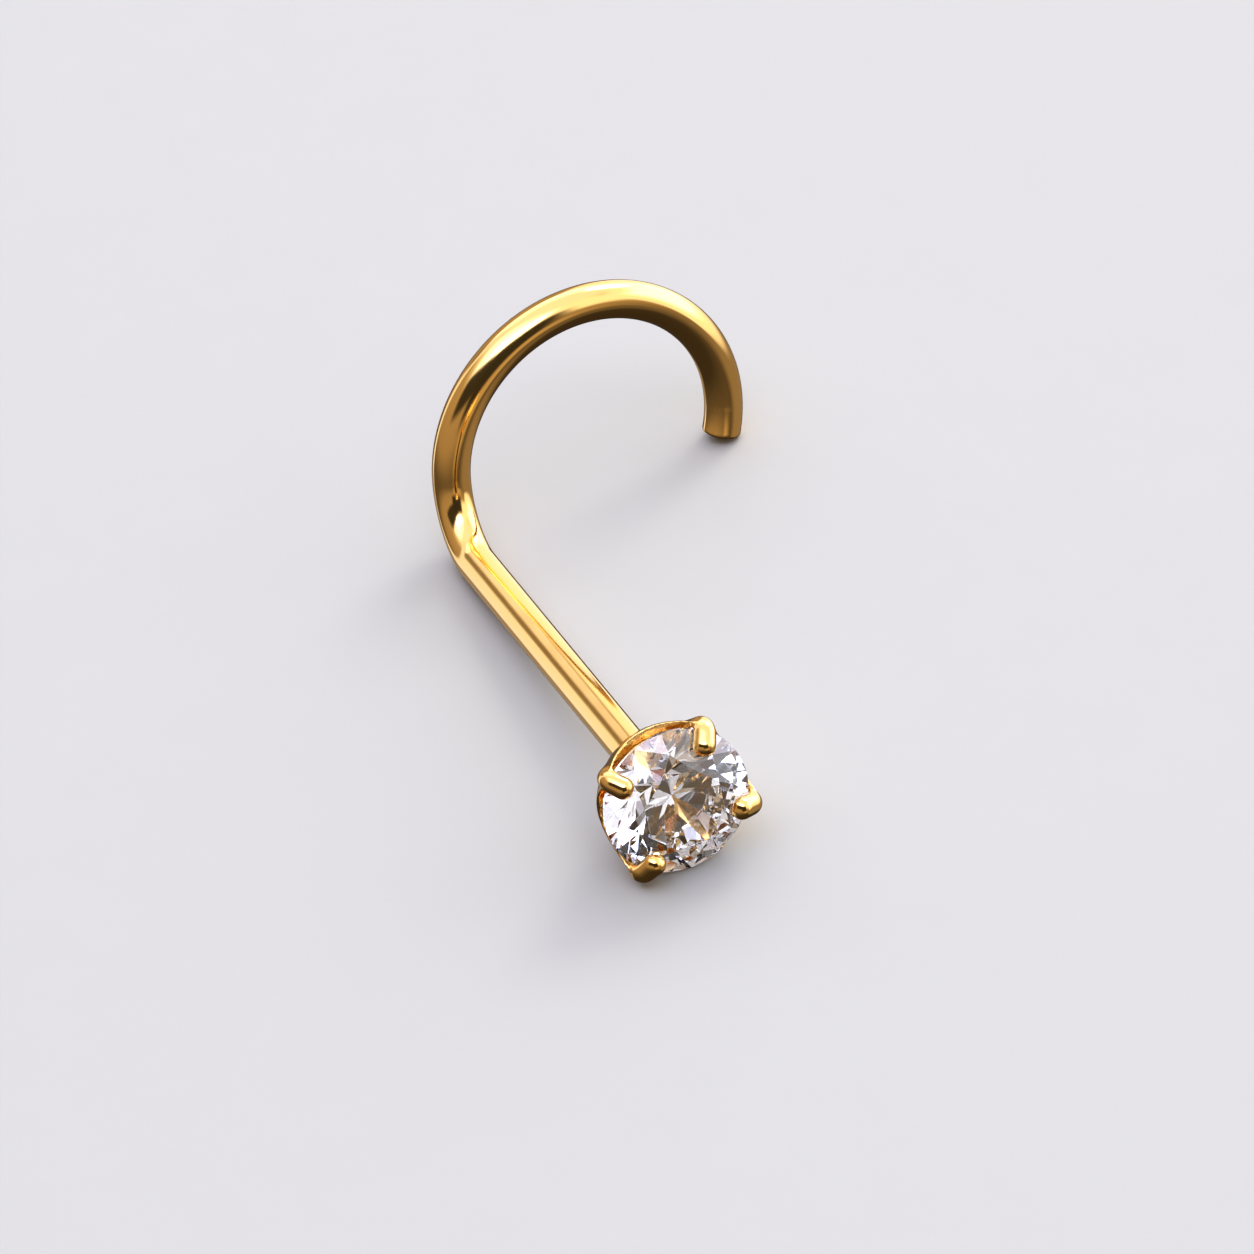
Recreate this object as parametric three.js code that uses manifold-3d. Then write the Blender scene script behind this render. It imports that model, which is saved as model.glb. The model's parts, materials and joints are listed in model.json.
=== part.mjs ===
// A nose stud: a round cut stone held by four claws, on a wire with a bend and an open hook.
// Millimetres. The stud is drawn with its post along Y and the stone facing -Y, and the middle
// of the stone's girdle is the drawing's origin. It is then laid down on the three points that
// it rests on, with the floor at Z = 0 and the origin under the middle of its box.
import * as THREE from 'three';
import { mergeVertices } from 'three/addons/utils/BufferGeometryUtils.js';
import { ConvexGeometry } from 'three/addons/geometries/ConvexGeometry.js';
import { ConvexHull } from 'three/addons/math/ConvexHull.js';
import Module from 'manifold-3d';

const wasm = await Module();
wasm.setup();

// Stone: a round brilliant
const STONE_DIAMETER = 2.5;
const TABLE_DIAMETER = 1.42;
const CROWN_HEIGHT = 0.38;
const GIRDLE_HEIGHT = 0.08;
const PAVILION_DEPTH = 1.07;
const MAIN_FACETS = 8;
const STAR_SHARE = 0.5;         // how far the star facets reach from the table to the girdle
const LOWER_HALF_SHARE = 0.25;  // where the lower halves end, from the culet to the girdle

// Setting: a cup with a scalloped rim that rises into the claws
const STONE_CLEARANCE = 0.03;
const CULET_CLEARANCE = 0.05;
const CUP_WALL = 0.14;
const CUP_BACK_THICKNESS = 0.18;
const CUP_BACK_RADIUS = 0.56;
const CUP_SHOULDER_RADIUS = 1.15;
const CUP_SHOULDER_DEPTH = 0.6;  // from the cup's back forwards to its shoulder
const RIM_OVERHANG = 0.13;      // how far the rim stands out past the stone
const SCALLOP_DEPTH = 0.43;
const CLAW_WIDTH = 0.34;
const CLAW_ROOT = 0.45;         // how far round the cup's outline a claw leaves it: 0 back, 1 rim
const CLAW_STANDOFF = 0.04;     // from the girdle's edge out to a claw's centreline
const CLAW_KNUCKLE = 0.05;      // from the girdle's edge in to where a claw has turned over it
const CLAW_LIFT = 0.13;         // from the crown up to a claw's centreline

// Claws, bent over by eye: degrees round from +X, seen from the front, and how far in from the
// girdle's edge the middle of the tip reaches
const CLAWS = [
  { turn: -14, reach: 0.25 },
  { turn: 65, reach: 0.19 },
  { turn: 150, reach: 0.15 },
  { turn: 237, reach: 0.24 },
];

// Wire: post, bend and hook in one round wire
const WIRE_DIAMETER = 0.64;
const POST_TILT = 4;            // degrees that the post is off square to the cup's back
const POST_LENGTH = 7.4;        // from the cup's back to the bend
const BEND_RADIUS = 1.1;
const BEND_ANGLE = 90;
const HOOK_RADIUS = 2.51;
const HOOK_ANGLE = 194;
const HOOK_LEAN = 5.5;          // degrees that the hook's far side leans away from the stone
const SOLDER_FILLET = 0.08;     // solder round the foot of the post

// Weights, in milligrams for each cubic millimetre, which decide how it comes to rest
const GOLD_DENSITY = 13.1;
const STONE_DENSITY = 5.8;

// How finely round shapes are divided, and how near two corners are one
const SAME_CORNER = 1e-5;
const WIRE_SIDES = 16;
const WIRE_STEPS = 90;
const CLAW_SIDES = 12;
const CLAW_STEPS = 12;
const CUP_SIDES = 48;
const CUP_PROFILE_STEPS = 8;
const SCALLOP_SIDES = 48;

const stoneRadius = STONE_DIAMETER / 2;
const tableRadius = TABLE_DIAMETER / 2;
const crownSlope = CROWN_HEIGHT / (stoneRadius - tableRadius);
const cupFloor = GIRDLE_HEIGHT / 2 + PAVILION_DEPTH + CULET_CLEARANCE;
const cupBack = cupFloor + CUP_BACK_THICKNESS;
const rimRadius = stoneRadius + RIM_OVERHANG;
const rimFront = -GIRDLE_HEIGHT / 2;
const radians = THREE.MathUtils.degToRad;
const clawAngles = CLAWS.map(({ turn }) => radians(turn));

const gold = new THREE.MeshStandardMaterial({ color: 0xe2ab4c, roughness: 0.14, metalness: 1 });
const clear = new THREE.MeshStandardMaterial({ color: 0xe9e4e4, roughness: 0.03, metalness: 0 });

// A point at a radius and an angle round the stone's axis, seen from the front.
function around(radius, angle, y) {
  return new THREE.Vector3(radius * Math.cos(angle), y, radius * Math.sin(angle));
}

// A closed mesh becomes a solid that can be cut and joined.
function solid(geometry) {
  const bare = geometry.clone();
  bare.deleteAttribute('normal');
  bare.deleteAttribute('uv');
  const merged = mergeVertices(bare, SAME_CORNER);
  const mesh = new wasm.Mesh({
    numProp: 3,
    vertProperties: new Float32Array(merged.attributes.position.array),
    triVerts: new Uint32Array(merged.index.array),
  });
  return new wasm.Manifold(mesh);
}

function geometryOf(manifold) {
  const mesh = manifold.getMesh();
  const geometry = new THREE.BufferGeometry();
  geometry.setAttribute('position', new THREE.BufferAttribute(mesh.vertProperties, 3));
  geometry.setIndex(new THREE.BufferAttribute(mesh.triVerts, 1));
  geometry.computeVertexNormals();
  return geometry;
}

// Every facet is flat: the kites and the pavilion mains fix the heights of the points beside them.
function roundBrilliant() {
  const half = Math.PI / MAIN_FACETS;
  const starRadius = THREE.MathUtils.lerp(tableRadius, stoneRadius, STAR_SHARE);
  const starHeight = (stoneRadius - starRadius * Math.cos(half)) * crownSlope;
  const lowerRadius = stoneRadius * LOWER_HALF_SHARE;
  const lowerHeight = PAVILION_DEPTH * (1 - LOWER_HALF_SHARE * Math.cos(half));
  const edge = GIRDLE_HEIGHT / 2;
  const points = [new THREE.Vector3(0, edge + PAVILION_DEPTH, 0)];
  for (let i = 0; i < MAIN_FACETS; i++) {
    const main = 2 * i * half;
    const between = main + half;
    points.push(around(tableRadius, main, -edge - CROWN_HEIGHT));
    points.push(around(starRadius, between, -edge - starHeight));
    points.push(around(lowerRadius, between, edge + lowerHeight));
    for (const angle of [main, between]) {
      points.push(around(stoneRadius, angle, -edge));
      points.push(around(stoneRadius, angle, edge));
    }
  }
  return new ConvexGeometry(points);
}

// The cup's outer outline, from its back to its rim, as radius and depth.
const cupOutline = new THREE.QuadraticBezierCurve(
  new THREE.Vector2(CUP_BACK_RADIUS, cupBack),
  new THREE.Vector2(CUP_SHOULDER_RADIUS, cupBack - CUP_SHOULDER_DEPTH),
  new THREE.Vector2(rimRadius, rimFront),
);

function cup() {
  const outer = cupOutline.getPoints(CUP_PROFILE_STEPS).reverse();
  const thinning = (CUP_BACK_THICKNESS - CUP_WALL) / (cupBack - rimFront);
  const inner = outer.map(({ x, y }) => {
    const depth = y - CUP_BACK_THICKNESS + thinning * (cupBack - y);
    return new THREE.Vector2(x - CUP_WALL, depth);
  });
  inner[0].y = rimFront;
  inner.reverse();
  const post = WIRE_DIAMETER / 2;
  const profile = [
    new THREE.Vector2(0, cupFloor),
    ...inner,
    ...outer,
    new THREE.Vector2(post + SOLDER_FILLET, cupBack),
    new THREE.Vector2(post, cupBack + SOLDER_FILLET),
    new THREE.Vector2(0, cupBack + SOLDER_FILLET),
    new THREE.Vector2(0, cupFloor),
  ];
  return solid(new THREE.LatheGeometry(profile, CUP_SIDES));
}

// A round cutter that dips the rim between a claw and the next one.
function scallop(angle, nextAngle) {
  const half = (nextAngle - angle) / 2;
  const reach = rimRadius * Math.sin(half) - (CLAW_WIDTH / 2) * Math.cos(half);
  const radius = (reach ** 2 + SCALLOP_DEPTH ** 2) / (2 * SCALLOP_DEPTH);
  const cutter = new THREE.CylinderGeometry(radius, radius, stoneRadius, SCALLOP_SIDES);
  cutter.rotateZ(-Math.PI / 2);
  cutter.translate(rimRadius, rimFront + SCALLOP_DEPTH - radius, 0);
  cutter.rotateY(-angle - half);
  return solid(cutter);
}

// A round section, which gets two sides for each of its curve segments.
function ring(diameter) {
  const shape = new THREE.Shape();
  shape.absarc(0, 0, diameter / 2, 0, 2 * Math.PI);
  return shape;
}

// A finger that leaves the cup's wall, folds over the girdle and ends round on the crown.
function claw(angle, reach) {
  const overCrown = (inset) => around(
    stoneRadius - inset, angle, rimFront - inset * crownSlope - CLAW_LIFT,
  );
  const root = cupOutline.getPoint(CLAW_ROOT);
  const path = new THREE.CatmullRomCurve3([
    around(root.x - CLAW_WIDTH / 2, angle, root.y),
    around(stoneRadius + CLAW_STANDOFF, angle, GIRDLE_HEIGHT / 2),
    overCrown(CLAW_KNUCKLE),
    overCrown(reach),
  ]);
  const options = { steps: CLAW_STEPS, extrudePath: path, curveSegments: CLAW_SIDES / 2 };
  const finger = solid(new THREE.ExtrudeGeometry(ring(CLAW_WIDTH), options));
  const end = new THREE.SphereGeometry(CLAW_WIDTH / 2, CLAW_SIDES, CLAW_SIDES / 2);
  end.translate(...overCrown(reach));
  return finger.add(solid(end));
}

// An arc that starts along one direction and turns towards another.
class Arc extends THREE.Curve {
  constructor(start, along, towards, radius, angle) {
    super();
    Object.assign(this, { start, along, towards, radius, angle });
  }

  getPoint(t, target = new THREE.Vector3()) {
    const turned = t * this.angle;
    return target.copy(this.start)
      .addScaledVector(this.along, this.radius * Math.sin(turned))
      .addScaledVector(this.towards, this.radius * (1 - Math.cos(turned)));
  }

  direction(t) {
    const turned = t * this.angle;
    return this.along.clone().multiplyScalar(Math.cos(turned))
      .addScaledVector(this.towards, Math.sin(turned));
  }
}

const sideways = new THREE.Vector3(1, 0, 0);
const along = new THREE.Vector3(0, 1, 0).applyAxisAngle(sideways, radians(POST_TILT));
const across = new THREE.Vector3().crossVectors(sideways, along);
const cupBackMiddle = new THREE.Vector3(0, cupBack, 0);
const foot = cupBackMiddle.clone().addScaledVector(along, -CUP_BACK_THICKNESS / 2);
const bendStart = cupBackMiddle.clone().addScaledVector(along, POST_LENGTH);
const bend = new Arc(bendStart, along, across, BEND_RADIUS, radians(BEND_ANGLE));
const rise = bend.direction(1);
const curl = sideways.clone().applyAxisAngle(rise, radians(HOOK_LEAN));
const hook = new Arc(bend.getPoint(1), rise, curl, HOOK_RADIUS, radians(HOOK_ANGLE));

function wire() {
  const path = new THREE.CurvePath();
  path.add(new THREE.LineCurve3(foot, bendStart));
  path.add(bend);
  path.add(hook);
  const options = { steps: WIRE_STEPS, extrudePath: path, curveSegments: WIRE_SIDES / 2 };
  return solid(new THREE.ExtrudeGeometry(ring(WIRE_DIAMETER), options));
}

// The stone's own shape, enlarged to stand off from it, is cut from the claws and the rim.
function soldered(stone) {
  const crownDistance = stoneRadius * Math.sin(Math.atan(crownSlope));
  const grow = 1 + STONE_CLEARANCE / crownDistance;
  let metal = cup();
  clawAngles.forEach((angle, i) => {
    const nextAngle = clawAngles[i + 1] ?? clawAngles[0] + 2 * Math.PI;
    metal = metal.subtract(scallop(angle, nextAngle));
  });
  clawAngles.forEach((angle, i) => {
    metal = metal.add(claw(angle, CLAWS[i].reach));
  });
  const seat = stone.clone().scale(grow, grow, grow);
  return geometryOf(metal.subtract(solid(seat)).add(wire()));
}

// The solid's corners, its weight and its centre of mass times that weight.
function weigh(geometry, density) {
  const corners = [];
  const moment = new THREE.Vector3();
  let weight = 0;
  const flat = geometry.index ? geometry.toNonIndexed() : geometry;
  for (let i = 0; i < flat.attributes.position.count; i += 3) {
    const [a, b, c] = [0, 1, 2].map((k) => (
      new THREE.Vector3().fromBufferAttribute(flat.attributes.position, i + k)
    ));
    const share = (density * a.dot(new THREE.Vector3().crossVectors(b, c))) / 6;
    weight += share;
    moment.addScaledVector(new THREE.Vector3().add(a).add(b).add(c), share / 4);
    corners.push(a, b, c);
  }
  return { corners, weight, moment };
}

// The way down when the stud rests by itself: square to the face of its hull, on the side away
// from the hook's rise, that its centre of mass lies over.
function restingDown(parts) {
  const weight = parts.reduce((sum, part) => sum + part.weight, 0);
  const middle = new THREE.Vector3();
  parts.forEach((part) => middle.add(part.moment));
  middle.divideScalar(weight);
  const hull = new ConvexHull().setFromPoints(parts.flatMap((part) => part.corners));
  let best = null;
  for (const face of hull.faces) {
    const corners = [0, 1, 2].map((k) => face.getEdge(k).head().point);
    const triangle = new THREE.Triangle(...corners);
    const under = new THREE.Plane(face.normal, -face.constant).projectPoint(
      middle, new THREE.Vector3(),
    );
    const better = !best || face.normal.z < best.z;
    if (better && triangle.containsPoint(under)) best = face.normal;
  }
  return best;
}

const stoneGeometry = roundBrilliant();
stoneGeometry.rotateY(-clawAngles[0]);
const metalGeometry = soldered(stoneGeometry);

const stoneMesh = new THREE.Mesh(stoneGeometry, clear);
stoneMesh.name = 'stone';
const metalMesh = new THREE.Mesh(metalGeometry, gold);
metalMesh.name = 'setting_and_wire';

const stud = new THREE.Group();
stud.add(stoneMesh, metalMesh);

const down = restingDown([
  weigh(stoneGeometry, STONE_DENSITY),
  weigh(metalGeometry, GOLD_DENSITY),
]);
const lay = new THREE.Quaternion().setFromUnitVectors(down, new THREE.Vector3(0, 0, -1));
const laidPost = along.clone().applyQuaternion(lay);
const turn = new THREE.Quaternion().setFromAxisAngle(
  new THREE.Vector3(0, 0, 1), Math.atan2(laidPost.x, laidPost.y),
);
stud.quaternion.multiplyQuaternions(turn, lay);
stud.updateMatrixWorld(true);
const box = new THREE.Box3().setFromObject(stud, true);
const middle = box.getCenter(new THREE.Vector3());
stud.position.set(-middle.x, -middle.y, -box.min.z);

const model = new THREE.Group();
model.add(stud);

export default model;
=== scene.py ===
# A nose stud: a clear round brilliant in a scalloped gold claw setting, on a bent gold wire.
# The pieces are shaped upright in millimetres, with the stone's axis along Y and its front to -Y.
# Each one is then laid down at its real size, in metres, as the frame's two mounts lie.
import json
from math import atan, atan2, cos, pi, radians, sin, sqrt, tan

import bpy
from mathutils import Matrix, Vector


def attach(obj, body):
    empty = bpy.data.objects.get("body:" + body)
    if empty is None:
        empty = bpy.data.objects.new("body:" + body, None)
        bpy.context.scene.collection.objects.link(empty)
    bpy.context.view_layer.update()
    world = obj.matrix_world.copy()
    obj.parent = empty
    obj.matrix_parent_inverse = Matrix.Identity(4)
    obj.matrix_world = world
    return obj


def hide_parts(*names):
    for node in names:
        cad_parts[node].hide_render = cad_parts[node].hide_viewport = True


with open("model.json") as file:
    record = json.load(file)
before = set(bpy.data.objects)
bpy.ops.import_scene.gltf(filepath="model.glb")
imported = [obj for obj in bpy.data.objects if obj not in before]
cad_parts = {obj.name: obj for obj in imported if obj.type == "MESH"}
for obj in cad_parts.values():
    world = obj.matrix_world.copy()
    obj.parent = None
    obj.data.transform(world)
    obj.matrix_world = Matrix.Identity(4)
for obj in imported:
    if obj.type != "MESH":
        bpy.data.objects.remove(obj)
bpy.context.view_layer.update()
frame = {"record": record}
print("frame loaded")

mm = 0.001
sideways = Vector((1, 0, 0))
backwards = Vector((0, 1, 0))

stoneSizes = {
    "across": 2.5,
    "table": 1.42,
    "crown": 0.38,
    "girdle": 0.08,
    "pavilion": 1.07,
    "mains": 8,
    "starShare": 0.5,       # how far the stars reach from the table to the girdle
    "halvesShare": 0.25,    # where the lower halves end, from the culet to the girdle
    "girdleSides": 96,
    "softEdge": 0.006,      # the polish on the facets' edges
    "flatAngle": 2,         # degrees: edges that turn more than this get the soft edge
    "weld": 0.0005,         # corners nearer than this are one corner
}
cupSizes = {
    "culetRoom": 0.05,
    "wall": 0.14,
    "backThick": 0.18,
    "backRadius": 0.56,
    "shoulder": (1.15, 0.6),  # radius, and depth from the back
    "rimOut": 0.13,           # past the stone
    "scallop": 0.43,
    "clawFoot": 0.05,         # wall left standing at the rim on each side of a claw
    "fillet": 0.08,
    "sides": 160,
    "sections": 12,
    "scallopSides": 128,
}
clawSizes = {
    "thick": 0.37,
    "swell": 1.12,       # how much thicker the tip is
    "root": 0.45,        # how far round the cup's outline: 0 back, 1 rim
    "lift": 0.13,        # from the crown to the claw's middle
    "standOut": 0.12,    # from the girdle's edge out to the corner that the claw bends round
    "bend": 0.2,
    "flare": 1.15,       # at the root
    "rootInset": 0.04,   # how far the root's outer side lies inside the cup's outline
    "pastReach": 0.4,    # how far the tip goes past its middle, as a share of the thickness
    "tipRound": 0.5,     # rounding of the tip, as a share of the thickness
    "tipSteps": 8,
    "bendSteps": 10,
    "sides": 40,
    "seatGap": 0.012,    # between the claws and the stone that they are cut to
}
claws = [                # turned from +X as seen from the front, and how far in the tip's middle is
    {"turn": -14, "reach": 0.25},
    {"turn": 65, "reach": 0.19},
    {"turn": 150, "reach": 0.15},
    {"turn": 237, "reach": 0.24},
]
castSizes = {
    "voxel": 0.0185,      # the setting is cast in one: its pieces are melted together at this size
    "smoothing": 22,
}
wireSizes = {
    "thick": 0.64,
    "tilt": 4,
    "post": 7.4,
    "bend": 1.1,
    "bendTurn": 90,
    "hook": 2.51,
    "hookTurn": 194,
    "lean": 5.5,          # of the hook, out of square with the post
    "sides": 72,
    "bendSteps": 24,
    "hookSteps": 96,
    "softEnd": 0.05,      # rounding of the cut end's edge
    "softEndSteps": 4,
    "smoothAngle": 35,
}

stoneRadius = stoneSizes["across"] / 2
tableRadius = stoneSizes["table"] / 2
halfGirdle = stoneSizes["girdle"] / 2
crownSlope = stoneSizes["crown"] / (stoneRadius - tableRadius)
cupFloor = halfGirdle + stoneSizes["pavilion"] + cupSizes["culetRoom"]
cupBack = cupFloor + cupSizes["backThick"]
rimRadius = stoneRadius + cupSizes["rimOut"]
rimFront = -halfGirdle


def turned(direction, degrees, axis):
    return Matrix.Rotation(radians(degrees), 3, axis) @ direction


def around(radius, angle, y):
    return Vector((radius * cos(angle), y, radius * sin(angle)))


# directions of the wire: along the post, up the bend, and across the hook
alongPost = turned(backwards, wireSizes["tilt"], sideways)
riseAxis = sideways.cross(alongPost)
bendTurn = radians(wireSizes["bendTurn"])
hookRise = alongPost * cos(bendTurn) + riseAxis * sin(bendTurn)
hookSide = turned(sideways, wireSizes["lean"], hookRise)
hookTurn = radians(wireSizes["hookTurn"])
hookEnd = hookRise * cos(hookTurn) + hookSide * sin(hookTurn)
backMiddle = Vector((0, cupBack, 0))
postEnd = backMiddle + alongPost * wireSizes["post"]
bendMiddle = postEnd + riseAxis * wireSizes["bend"]
hookStart = bendMiddle + alongPost * wireSizes["bend"]
hookMiddle = hookStart + hookSide * wireSizes["hook"]
endMiddle = hookMiddle + (hookRise * sin(hookTurn) - hookSide * cos(hookTurn)) * wireSizes["hook"]


def squareAxes(first, second):
    # three square directions from two that aren't parallel, as columns
    first = first.normalized()
    third = first.cross(second).normalized()
    return Matrix((first, third.cross(first), third)).transposed()


def layDownMatrix():
    mounts = {m["name"]: m for m in frame["record"]["mounts"]}
    upright = squareAxes(backwards, hookEnd)
    lying = squareAxes(Vector(mounts["cup_back"]["axis"]), Vector(mounts["hook_end"]["axis"]))
    turn = (lying @ upright.transposed()).to_4x4()
    place = Vector(mounts["hook_end"]["pos_m"])
    return Matrix.Translation(place) @ turn @ Matrix.Scale(mm, 4) @ Matrix.Translation(-endMiddle)


layDown = layDownMatrix()


# small helpers for working in edit mode
def alone(piece):
    bpy.ops.object.select_all(action="DESELECT")
    piece.select_set(True)
    bpy.context.view_layer.objects.active = piece
    return piece


def editing(piece):
    alone(piece)
    bpy.ops.object.mode_set(mode="EDIT")


def done(piece):
    bpy.ops.object.mode_set(mode="OBJECT")
    return piece


def named(name):
    piece = bpy.context.object
    piece.name = name
    piece.data.name = name
    return piece


def disc(name, middle, facing, radius, sides):
    bpy.ops.object.select_all(action="DESELECT")
    turn = Vector((0, 0, 1)).rotation_difference(facing).to_euler()
    bpy.ops.mesh.primitive_circle_add(
        vertices=sides, radius=radius, fill_type="NGON", location=middle, rotation=turn)
    bpy.ops.object.transform_apply(location=True, rotation=True, scale=True)
    return named(name)


def pull(step, scale=1, middle=(0, 0, 0)):
    # extrudes the selected face by a step, and scales the new end about a point
    bpy.ops.mesh.extrude_region_move(TRANSFORM_OT_translate={"value": step})
    if scale != 1:
        bpy.ops.transform.resize(value=(scale, scale, scale), center_override=middle)


def turnEnd(angle, middle, axis, steps):
    # spin turns the other way round its axis than the angle's sign says
    bpy.ops.mesh.spin(steps=steps, angle=-angle, center=middle, axis=axis, dupli=False)


def outwards(piece):
    editing(piece)
    bpy.ops.mesh.select_all(action="SELECT")
    bpy.ops.mesh.remove_doubles(threshold=0.00001)
    bpy.ops.mesh.normals_make_consistent(inside=False)
    return done(piece)


def applied(piece, kind, **settings):
    alone(piece)
    modifier = piece.modifiers.new(kind.lower(), kind)
    for setting, value in settings.items():
        setattr(modifier, setting, value)
    bpy.ops.object.modifier_apply(modifier=modifier.name)
    return piece


def cutBy(piece, cutter):
    applied(piece, "BOOLEAN", operation="DIFFERENCE", solver="EXACT", object=cutter)
    return piece


def remove(piece):
    bpy.data.objects.remove(piece)


def layPiece(piece, node, material):
    alone(piece)
    piece.matrix_world = layDown
    bpy.ops.object.transform_apply(location=True, rotation=True, scale=True)
    piece.data.materials.clear()
    piece.data.materials.append(material)
    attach(piece, "root")
    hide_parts(node)
    print(piece.name, "laid down:", len(piece.data.polygons), "faces")
    return piece


# stone
def facetPlanes():
    # a point and an outward normal for each facet, from the corners of a standard round brilliant
    half = pi / stoneSizes["mains"]
    starRadius = tableRadius + (stoneRadius - tableRadius) * stoneSizes["starShare"]
    starY = -halfGirdle - (stoneRadius - starRadius * cos(half)) * crownSlope
    tableY = -halfGirdle - stoneSizes["crown"]
    culet = Vector((0, halfGirdle + stoneSizes["pavilion"], 0))
    lowerRadius = stoneRadius * stoneSizes["halvesShare"]
    lowerY = halfGirdle + stoneSizes["pavilion"] * (1 - stoneSizes["halvesShare"] * cos(half))
    planes = []

    def plane(a, b, c):
        normal = (b - a).cross(c - a).normalized()
        planes.append((a, normal if normal.dot(a) > 0 else -normal))

    for i in range(stoneSizes["mains"]):
        main = 2 * i * half + radians(claws[0]["turn"])    # the table has a corner at the first claw
        after = main + half
        nextMain = main + 2 * half
        star = around(starRadius, after, starY)
        lower = around(lowerRadius, after, lowerY)
        edge = around(stoneRadius, main, -halfGirdle)
        plane(edge, around(tableRadius, main, tableY), edge + around(1, main + pi / 2, 0))
        under = around(stoneRadius, main, halfGirdle)
        plane(under, culet, under + around(1, main + pi / 2, 0))
        plane(star, around(tableRadius, main, tableY), around(tableRadius, nextMain, tableY))
        for side in (main, nextMain):
            plane(star, around(stoneRadius, side, -halfGirdle), around(stoneRadius, after, -halfGirdle))
            plane(lower, around(stoneRadius, side, halfGirdle), around(stoneRadius, after, halfGirdle))
    return planes


def cutStone(name, grow=1.0):
    front = halfGirdle + stoneSizes["crown"]
    back = halfGirdle + stoneSizes["pavilion"]
    bpy.ops.object.select_all(action="DESELECT")
    bpy.ops.mesh.primitive_cylinder_add(
        vertices=stoneSizes["girdleSides"], radius=stoneRadius, depth=front + back,
        location=(0, (back - front) / 2, 0), rotation=(pi / 2, 0, 0))
    bpy.ops.object.transform_apply(location=True, rotation=True, scale=True)
    piece = named(name)
    editing(piece)
    for point, normal in facetPlanes():
        bpy.ops.mesh.select_all(action="SELECT")
        bpy.ops.mesh.bisect(
            plane_co=point, plane_no=normal, use_fill=True, clear_outer=True, threshold=1e-6)
    bpy.ops.mesh.select_all(action="SELECT")
    bpy.ops.mesh.remove_doubles(threshold=stoneSizes["weld"])
    bpy.ops.transform.resize(value=(grow, grow, grow), center_override=(0, 0, 0))
    return done(piece)


# setting
def outline(t):
    # the cup's outer outline from its back to its rim, as radius and y
    a = Vector((cupSizes["backRadius"], cupBack))
    b = Vector((cupSizes["shoulder"][0], cupBack - cupSizes["shoulder"][1]))
    c = Vector((rimRadius, rimFront))
    return a * (1 - t) ** 2 + b * 2 * t * (1 - t) + c * t ** 2


def makeCup():
    wire = wireSizes["thick"] / 2
    sections = [(wire, cupBack + cupSizes["fillet"]), (wire + cupSizes["fillet"], cupBack)]
    sections += [tuple(outline(i / cupSizes["sections"])) for i in range(cupSizes["sections"] + 1)]
    thinning = (cupSizes["backThick"] - cupSizes["wall"]) / (cupBack - rimFront)
    for i in range(cupSizes["sections"], -1, -1):
        radius, y = outline(i / cupSizes["sections"])
        depth = y - cupSizes["backThick"] + thinning * (cupBack - y)
        sections.append((radius - cupSizes["wall"], rimFront if i == cupSizes["sections"] else depth))
    radius, y = sections[0]
    cup = disc("cup", (0, y, 0), -backwards, radius, cupSizes["sides"])
    editing(cup)
    bpy.ops.mesh.select_all(action="SELECT")
    for nextRadius, nextY in sections[1:]:
        pull((0, nextY - y, 0), nextRadius / radius, (0, nextY, 0))
        radius, y = nextRadius, nextY
    done(cup)
    return outwards(cup)


def makeScallop(turn, nextTurn):
    # a cylinder lying across the rim, between one claw and the next
    half = radians(nextTurn - turn) / 2
    reach = rimRadius * sin(half) - (clawSizes["thick"] / 2 + cupSizes["clawFoot"]) * cos(half)
    dip = cupSizes["scallop"]
    radius = (reach ** 2 + dip ** 2) / (2 * dip)
    bpy.ops.object.select_all(action="DESELECT")
    bpy.ops.mesh.primitive_cylinder_add(
        vertices=cupSizes["scallopSides"], radius=radius, depth=stoneRadius,
        location=(rimRadius, rimFront + dip - radius, 0), rotation=(0, pi / 2, 0))
    bpy.ops.object.transform_apply(location=True, rotation=True, scale=True)
    scallop = named("scallop")
    scallop.rotation_euler = (0, -radians(turn) - half, 0)
    bpy.ops.object.transform_apply(location=True, rotation=True, scale=True)
    return scallop


def makeClaw(turn, reach):
    # a finger from the cup's wall, bent over the girdle and rounded at its end
    angle = radians(turn)
    rootRadius, rootY = outline(clawSizes["root"])
    flared = clawSizes["thick"] / 2 * clawSizes["flare"]
    root = around(rootRadius - flared - clawSizes["rootInset"], angle, rootY)
    inwards = around(-1, angle, -crownSlope).normalized()
    corner = around(
        stoneRadius + clawSizes["standOut"], angle,
        rimFront - clawSizes["lift"] + clawSizes["standOut"] * crownSlope)
    up = (corner - root).normalized()
    turnBy = up.angle(inwards)
    tangent = clawSizes["bend"] * tan(turnBy / 2)
    bendStart = corner - up * tangent
    across = around(1, angle + pi / 2, 0)
    toMiddle = (inwards - up * up.dot(inwards)).normalized()
    bendCentre = bendStart + toMiddle * clawSizes["bend"]
    claw = disc("claw", root, up, flared, clawSizes["sides"])
    editing(claw)
    bpy.ops.mesh.select_all(action="SELECT")
    halfRise = (bendStart - root) / 2
    pull(halfRise, 1 / sqrt(clawSizes["flare"]), root + halfRise)
    pull(halfRise, 1 / sqrt(clawSizes["flare"]), bendStart)
    turnAxis = up.cross(inwards).normalized()
    turnEnd(turnBy, bendCentre, turnAxis, clawSizes["bendSteps"])
    overCrown = (clawSizes["standOut"] + reach) / -around(1, angle, 0).dot(inwards)
    straight = overCrown - tangent + clawSizes["thick"] * clawSizes["pastReach"]
    tip = corner + inwards * (tangent + straight)
    pull(inwards * straight, clawSizes["swell"], tip)
    bpy.ops.mesh.bevel(
        offset=clawSizes["thick"] * clawSizes["tipRound"], segments=clawSizes["tipSteps"],
        profile=0.5, affect="EDGES")
    done(claw)
    return outwards(claw)


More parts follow.
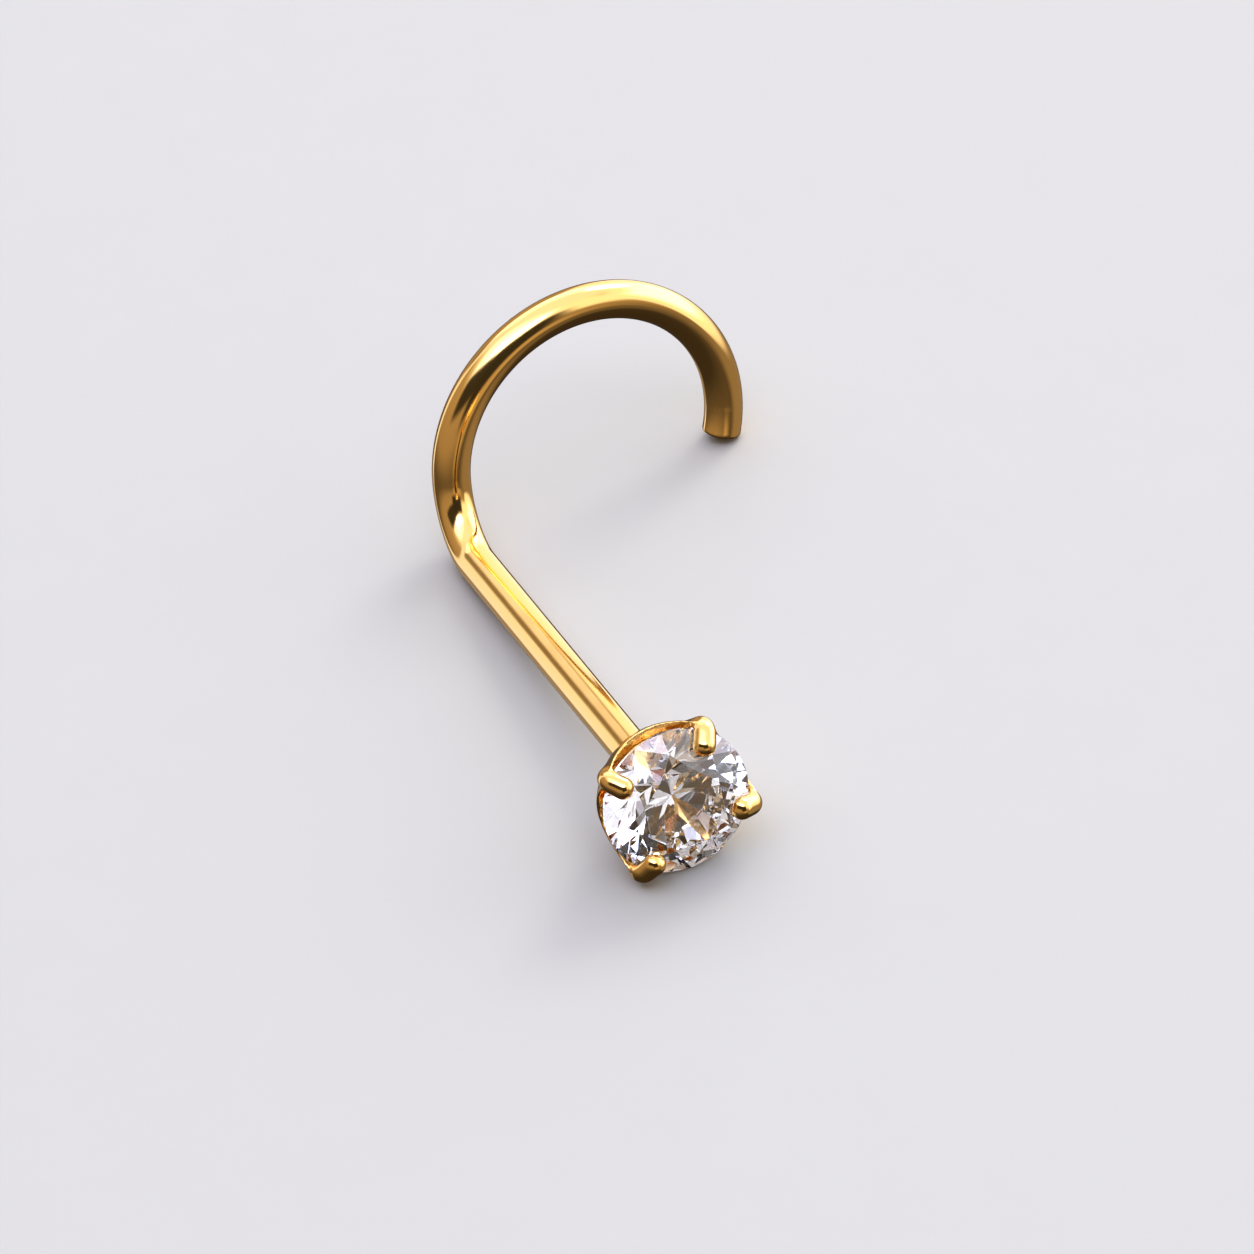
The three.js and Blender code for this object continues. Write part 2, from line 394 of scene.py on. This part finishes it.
def makeSetting():
    cup = makeCup()
    for claw, after in zip(claws, claws[1:] + claws[:1]):
        nextTurn = after["turn"] if after["turn"] > claw["turn"] else after["turn"] + 360
        scallop = makeScallop(claw["turn"], nextTurn)
        cutBy(cup, scallop)
        remove(scallop)
    fingers = [makeClaw(**claw) for claw in claws]
    crownDistance = stoneRadius * sin(atan(crownSlope))
    seat = cutStone("seat", 1 + clawSizes["seatGap"] / crownDistance)
    for piece in [cup, *fingers]:
        cutBy(piece, seat)
    remove(seat)
    bpy.ops.object.select_all(action="DESELECT")
    for piece in [cup, *fingers]:
        piece.select_set(True)
    bpy.context.view_layer.objects.active = cup
    bpy.ops.object.join()
    cup.name = "setting"
    applied(cup, "REMESH", mode="VOXEL", voxel_size=castSizes["voxel"])
    applied(cup, "SMOOTH", factor=0.5, iterations=castSizes["smoothing"])
    bpy.ops.object.shade_smooth()
    return cup


# wire
def makeWire():
    start = backMiddle - alongPost * cupSizes["backThick"] / 2
    wire = disc("wire", start, alongPost, wireSizes["thick"] / 2, wireSizes["sides"])
    editing(wire)
    bpy.ops.mesh.select_all(action="SELECT")
    pull(postEnd - start)
    turnEnd(bendTurn, bendMiddle, alongPost.cross(riseAxis), wireSizes["bendSteps"])
    turnEnd(hookTurn, hookMiddle, hookRise.cross(hookSide), wireSizes["hookSteps"])
    bpy.ops.mesh.bevel(
        offset=wireSizes["softEnd"], segments=wireSizes["softEndSteps"], profile=0.5, affect="EDGES")
    done(wire)
    outwards(wire)
    alone(wire)
    bpy.ops.object.shade_smooth_by_angle(angle=radians(wireSizes["smoothAngle"]))
    return wire


def writeStraightPlaces(wire):
    # stores on each vertex where it was before the wire was bent: across, across, and along it
    start = backMiddle - alongPost * cupSizes["backThick"] / 2
    postLength = (postEnd - start).length
    bendLength = wireSizes["bend"] * bendTurn
    places = wire.data.attributes.new("straightPlace", "FLOAT_VECTOR", "POINT")
    for vertex, place in zip(wire.data.vertices, places.data):
        point = vertex.co
        fromBend = point - bendMiddle
        fromHook = point - hookMiddle
        if fromBend.dot(alongPost) < 0:
            out = riseAxis
            side = point - start
            length = side.dot(alongPost)
            across = side.dot(out)
            other = side.dot(sideways)
        elif fromHook.dot(hookRise) < 0:
            turn = atan2(fromBend.dot(alongPost), -fromBend.dot(riseAxis))
            length = postLength + wireSizes["bend"] * turn
            flat = fromBend - sideways * fromBend.dot(sideways)
            across = wireSizes["bend"] - flat.length
            other = fromBend.dot(sideways)
        else:
            hookAxis = hookRise.cross(hookSide)
            turn = atan2(fromHook.dot(hookRise), -fromHook.dot(hookSide)) % (2 * pi)
            length = postLength + bendLength + wireSizes["hook"] * turn
            flat = fromHook - hookAxis * fromHook.dot(hookAxis)
            other = wireSizes["hook"] - flat.length
            across = fromHook.dot(hookAxis)
        places.data[vertex.index].vector = (other, across, length)


# shaders
class Flow:
    # a value in a shader, which Python's operators add Math nodes to
    def __init__(self, shader, socket):
        self.shader = shader
        self.socket = socket

    def __add__(self, other):
        return self.shader.maths("ADD", self, other)

    def __radd__(self, other):
        return self.shader.maths("ADD", other, self)

    def __mul__(self, other):
        return self.shader.maths("MULTIPLY", self, other)

    def __rmul__(self, other):
        return self.shader.maths("MULTIPLY", other, self)

    def __truediv__(self, other):
        return self.shader.maths("DIVIDE", self, other)

    def __pow__(self, other):
        return self.shader.maths("POWER", self, other)


class Shader:
    # a node tree that is filled by one method for any node
    def __init__(self, owner):
        owner.use_nodes = True
        self.tree = owner.node_tree
        self.tree.nodes.clear()

    def node(self, kind, settings, values, out=0):
        made = self.tree.nodes.new(kind)
        for setting, value in settings.items():
            if setting == "stops":
                self.setStops(made.color_ramp, value)
            else:
                setattr(made, setting, value)
        for name, value in values.items():
            if isinstance(value, Flow):
                self.tree.links.new(value.socket, made.inputs[name])
            else:
                made.inputs[name].default_value = value
        return Flow(self, made.outputs[out]) if made.outputs else made

    def setStops(self, ramp, stops):
        while len(ramp.elements) < len(stops):
            ramp.elements.new(1)
        for element, (place, grey) in zip(ramp.elements, stops):
            element.position = place
            element.color = (grey, grey, grey, 1) if isinstance(grey, (int, float)) else (*grey, 1)

    def maths(self, operation, first, second):
        return self.node("ShaderNodeMath", {"operation": operation}, {0: first, 1: second})

    def dot(self, first, second):
        return self.node(
            "ShaderNodeVectorMath", {"operation": "DOT_PRODUCT"}, {0: first, 1: second}, "Value")

    def objectPlace(self, scale):
        where = self.node("ShaderNodeTexCoord", {}, {}, "Object")
        return self.node("ShaderNodeVectorMath", {"operation": "SCALE"}, {0: where, "Scale": scale})

    def mixed(self, factor, first, second):
        return self.node(
            "ShaderNodeMix", {"data_type": "RGBA"}, {0: factor, 6: first, 7: second}, 2)

    def noise(self, place, scale, detail=2, roughness=0.5):
        return self.node(
            "ShaderNodeTexNoise", {},
            {"Vector": place, "Scale": scale, "Detail": detail, "Roughness": roughness})


goldFinish = {
    "colour": (0.95, 0.64, 0.235, 1),
    "redder": (0.94, 0.60, 0.20, 1),
    "tones": 1.1,          # patches of colour for each mm
    "roughness": 0.07,
    "smudge": 0.09,        # how much the roughness varies
    "smudges": 3.7,        # for each mm
    "waves": 0.9,          # for each mm
    "waveHeight": 0.004,   # mm
    "hairlines": 26,       # for each mm round the wire
    "stretch": 0.02,       # of the hairlines' pattern along the wire
    "hairlineHeight": 0.0006,
    "hairRoughness": 0.08,
}
stoneFinish = {
    "colour": (0.86, 0.87, 0.885, 1),
    "paintedFireRosy": (0.88, 0.86, 0.87, 1),
    "paintedFirePatches": 1.4,          # patches of painted fire in the stone's colour, for each mm
    "ior": 2.15,
    "roughness": 0.0,
}
floorFinish = {
    "pale": (0.47, 0.455, 0.395, 1),
    "deeper": (0.46, 0.445, 0.385, 1),
    "grain": 700,          # for each metre
    "bump": 0.3,
    "height": 0.02,        # mm
    "roughness": 0.8,
}


def polishedGold(name, followsWire):
    material = bpy.data.materials.new(name)
    shader = Shader(material)
    inMm = shader.objectPlace(1 / mm)
    tone = shader.noise(inMm, goldFinish["tones"], 3)
    smudge = shader.noise(inMm, goldFinish["smudges"], 4, 0.6)
    waves = shader.noise(inMm, goldFinish["waves"], 1)
    height = waves * goldFinish["waveHeight"]
    roughness = smudge ** 2 * goldFinish["smudge"] + goldFinish["roughness"]
    if followsWire:
        straight = shader.node("ShaderNodeAttribute", {"attribute_name": "straightPlace"}, {}, "Vector")
        drawn = shader.node(
            "ShaderNodeVectorMath", {"operation": "MULTIPLY"},
            {0: straight, 1: (1, 1, goldFinish["stretch"])})
        hairs = shader.noise(drawn, goldFinish["hairlines"], 2, 0.7)
        height = height + hairs * goldFinish["hairlineHeight"]
        roughness = roughness + hairs ** 3 * goldFinish["hairRoughness"]
    bump = shader.node("ShaderNodeBump", {}, {"Strength": 1.0, "Distance": mm, "Height": height})
    surface = shader.node("ShaderNodeBsdfPrincipled", {}, {
        "Base Color": shader.mixed(tone, goldFinish["colour"], goldFinish["redder"]),
        "Metallic": 1.0,
        "Roughness": roughness,
        "Normal": bump,
    })
    shader.node("ShaderNodeOutputMaterial", {}, {"Surface": surface})
    return material


def clearStone():
    material = bpy.data.materials.new("clearStone")
    shader = Shader(material)
    inMm = shader.objectPlace(1 / mm)
    # painted fire: faint random rosy patches in the stone's colour stand in for the coloured flashes of
    # light that a cut stone throws
    tint = shader.noise(inMm, stoneFinish["paintedFirePatches"], 1)
    surface = shader.node("ShaderNodeBsdfPrincipled", {}, {
        "Base Color": shader.mixed(tint, stoneFinish["colour"], stoneFinish["paintedFireRosy"]),
        "Roughness": stoneFinish["roughness"],
        "IOR": stoneFinish["ior"],
        "Transmission Weight": 1.0,
    })
    shader.node("ShaderNodeOutputMaterial", {}, {"Surface": surface})
    return material


def paleFloor():
    material = bpy.data.materials.new("paleFloor")
    shader = Shader(material)
    grain = shader.noise(shader.objectPlace(1), floorFinish["grain"], 4, 0.6)
    bump = shader.node(
        "ShaderNodeBump", {},
        {"Strength": floorFinish["bump"], "Distance": floorFinish["height"] * mm, "Height": grain})
    surface = shader.node("ShaderNodeBsdfPrincipled", {}, {
        "Base Color": shader.mixed(grain, floorFinish["pale"], floorFinish["deeper"]),
        "Roughness": floorFinish["roughness"],
        "Normal": bump,
    })
    shader.node("ShaderNodeOutputMaterial", {}, {"Surface": surface})
    return material


# the room, the camera and the lights
cameraFit = {
    "azimuth": -17.69,
    "elevation": 36.89,
    "roll": 8.02,
    "aim": (-0.481, 1.237, 0),   # mm
    "distance": 400.0,           # mm
    "frame": 1254,               # pixels each way
    "pixelsPerMm": 61.24,
    "sensor": 36.0,
}
roomGlow = [    # the room's light by height: degrees up from the horizon, and colour
    (-90, (0.050, 0.040, 0.032)),
    (-42, (0.058, 0.050, 0.044)),
    (-20, (0.14, 0.118, 0.10)),
    (-4, (0.37, 0.295, 0.225)),
    (30, (0.46, 0.375, 0.30)),
    (41, (0.75, 0.70, 0.70)),
    (52, (1.10, 1.10, 1.25)),
    (90, (1.15, 1.16, 1.35)),
]
softboxes = [    # seen from the stud: degrees to the right of the view and up, and half sizes in degrees
    {"side": 60, "up": 14, "halfWide": 57, "halfHigh": 36, "soft": 0.16, "light": (1.2, 1.2, 1.3)},
    {"side": 62, "up": 17, "halfWide": 35, "halfHigh": 19, "soft": 0.3, "light": (2.4, 2.45, 2.9)},
    {"side": 0, "up": 46, "halfWide": 42, "halfHigh": 14, "soft": 0.35, "light": (1.45, 1.5, 1.9)},
    {"side": 124, "up": 32, "halfWide": 14, "halfHigh": 22, "soft": 0.4, "light": (1.2, 1.2, 1.25)},
    {"side": 8, "up": 38, "halfWide": 17, "halfHigh": 6, "soft": 0.5, "light": (2.2, 2.3, 2.9)},
    {"side": -52, "up": 14, "halfWide": 7.5, "halfHigh": 45, "soft": 0.3, "light": (0.98, 1.0, 1.2)},
    {"side": -43, "up": 18, "halfWide": 6, "halfHigh": 8, "soft": 0.5, "light": (0.28, 0.24, 0.19)},
    {"side": -150, "up": 66, "halfWide": 32, "halfHigh": 16, "soft": 0.4, "light": (1.7, 1.8, 2.5)},
    {"side": -165, "up": 60, "halfWide": 17, "halfHigh": 8, "soft": 0.5, "light": (2.8, 3.1, 4.6)},
    {"side": 172, "up": 55, "halfWide": 16, "halfHigh": 9, "soft": 0.4, "light": (3.6, 3.7, 4.8)},
    {"side": -152, "up": 33, "halfWide": 34, "halfHigh": 16, "soft": 0.3, "light": (0.055, 0.052, 0.047)},
    {"side": 165, "up": 20, "halfWide": 24, "halfHigh": 20, "soft": 0.3, "light": (0.05, 0.047, 0.042)},
    {"side": 156, "up": -12, "halfWide": 20, "halfHigh": 8, "soft": 0.5, "light": (0.52, 0.41, 0.28)},
    {"side": -32, "up": -38, "halfWide": 16, "halfHigh": 9, "soft": 0.5, "light": (0.32, 0.29, 0.26)},
    {"side": 78, "up": -35, "halfWide": 45, "halfHigh": 17, "soft": 0.5, "light": (0.30, 0.25, 0.21)},
]
keyLight = {
    "side": 40,
    "up": 42,
    "distance": 320,      # mm
    "size": 130,          # mm
    "watts": 0.25,
    "tint": (1, 0.99, 0.97),
}


def towards(side, up):
    # a direction from the stud: degrees to the right of the camera's view, and degrees up
    a = radians(side - cameraFit["azimuth"])
    e = radians(up)
    return Vector((sin(a) * cos(e), cos(a) * cos(e), sin(e)))


def addCamera():
    a = radians(cameraFit["azimuth"])
    e = radians(cameraFit["elevation"])
    roll = radians(cameraFit["roll"])
    back = Vector((sin(a) * cos(e), -cos(a) * cos(e), sin(e)))
    levelRight = Vector((cos(a), sin(a), 0))
    levelUp = back.cross(levelRight)
    up = levelUp * cos(roll) + levelRight * sin(roll)
    right = levelRight * cos(roll) - levelUp * sin(roll)
    bpy.ops.object.camera_add(location=(Vector(cameraFit["aim"]) + back * cameraFit["distance"]) * mm)
    camera = bpy.context.object
    camera.rotation_euler = Matrix((right, up, back)).transposed().to_euler()
    camera.data.sensor_width = cameraFit["sensor"]
    focalPixels = cameraFit["pixelsPerMm"] * cameraFit["distance"]
    camera.data.lens = focalPixels * cameraFit["sensor"] / cameraFit["frame"]
    camera.data.clip_start = 0.01
    bpy.context.scene.camera = camera


def addFloor():
    bpy.ops.mesh.primitive_circle_add(vertices=96, radius=3, fill_type="NGON", location=(0, 0, 0))
    floor = named("floor")
    floor.data.materials.append(paleFloor())
    floor.visible_glossy = False    # polished metal mirrors the darker room instead


def addKeyLight():
    place = towards(keyLight["side"], keyLight["up"]) * keyLight["distance"] * mm
    bpy.ops.object.light_add(type="AREA", location=place)
    light = bpy.context.object
    light.name = "keyLight"
    light.rotation_euler = place.to_track_quat("Z", "Y").to_euler()
    light.data.shape = "DISK"
    light.data.size = keyLight["size"] * mm
    light.data.energy = keyLight["watts"]
    light.data.color = keyLight["tint"]


def softboxMask(shader, direction, box):
    # 1 inside a panel with soft edges that faces the stud, 0 outside it
    middle = towards(box["side"], box["up"])
    across = towards(box["side"] + 90, 0)
    upright = across.cross(middle)
    ahead = shader.dot(direction, middle)
    mask = shader.node("ShaderNodeMath", {"operation": "GREATER_THAN"}, {0: ahead, 1: 0.0})
    for axis, half in ((across, box["halfWide"]), (upright, box["halfHigh"])):
        reach = tan(radians(half))
        offset = shader.node(
            "ShaderNodeMath", {"operation": "ABSOLUTE"}, {0: shader.dot(direction, axis)})
        place = offset / shader.node("ShaderNodeMath", {"operation": "MAXIMUM"}, {0: ahead, 1: 0.001})
        mask = mask * shader.node(
            "ShaderNodeMapRange", {"interpolation_type": "SMOOTHSTEP"},
            {"Value": place,
             "From Min": reach * (1 + box["soft"]),
             "From Max": reach * (1 - box["soft"])})
    return mask


def addRoom():
    world = bpy.data.worlds.new("room")
    bpy.context.scene.world = world
    shader = Shader(world)
    direction = shader.node("ShaderNodeTexCoord", {}, {}, "Generated")
    height = shader.dot(direction, (0, 0, 1))
    angle = shader.node("ShaderNodeMath", {"operation": "ARCSINE"}, {0: height}) * (1 / pi) + 0.5
    stops = [(0.5 + degrees / 180, colour) for degrees, colour in roomGlow]
    glow = shader.node("ShaderNodeValToRGB", {"stops": stops}, {"Fac": angle})
    for box in softboxes:
        glow = shader.mixed(softboxMask(shader, direction, box), glow, (*box["light"], 1))
    light = shader.node("ShaderNodeBackground", {}, {"Color": glow, "Strength": 1.0})
    shader.node("ShaderNodeOutputWorld", {}, {"Surface": light})


addCamera()
addFloor()
addKeyLight()
addRoom()
bpy.context.scene.view_settings.view_transform = "Standard"
bpy.context.scene.view_settings.look = "Medium High Contrast"
bpy.context.scene.cycles.max_bounces = 18           # light turns many times inside the stone
bpy.context.scene.cycles.glossy_bounces = 16
bpy.context.scene.cycles.transmission_bounces = 18
bpy.context.scene.cycles.diffuse_bounces = 2
print("room, lights and camera set")

stone = cutStone("stone_cut")
applied(
    stone, "BEVEL", width=stoneSizes["softEdge"], segments=1,
    limit_method="ANGLE", angle_limit=radians(stoneSizes["flatAngle"]))
outwards(stone)
layPiece(stone, "stone", clearStone())
setting = makeSetting()
layPiece(setting, "setting_and_wire", polishedGold("castGold", False))
wire = makeWire()
writeStraightPlaces(wire)
layPiece(wire, "setting_and_wire", polishedGold("drawnGold", True))
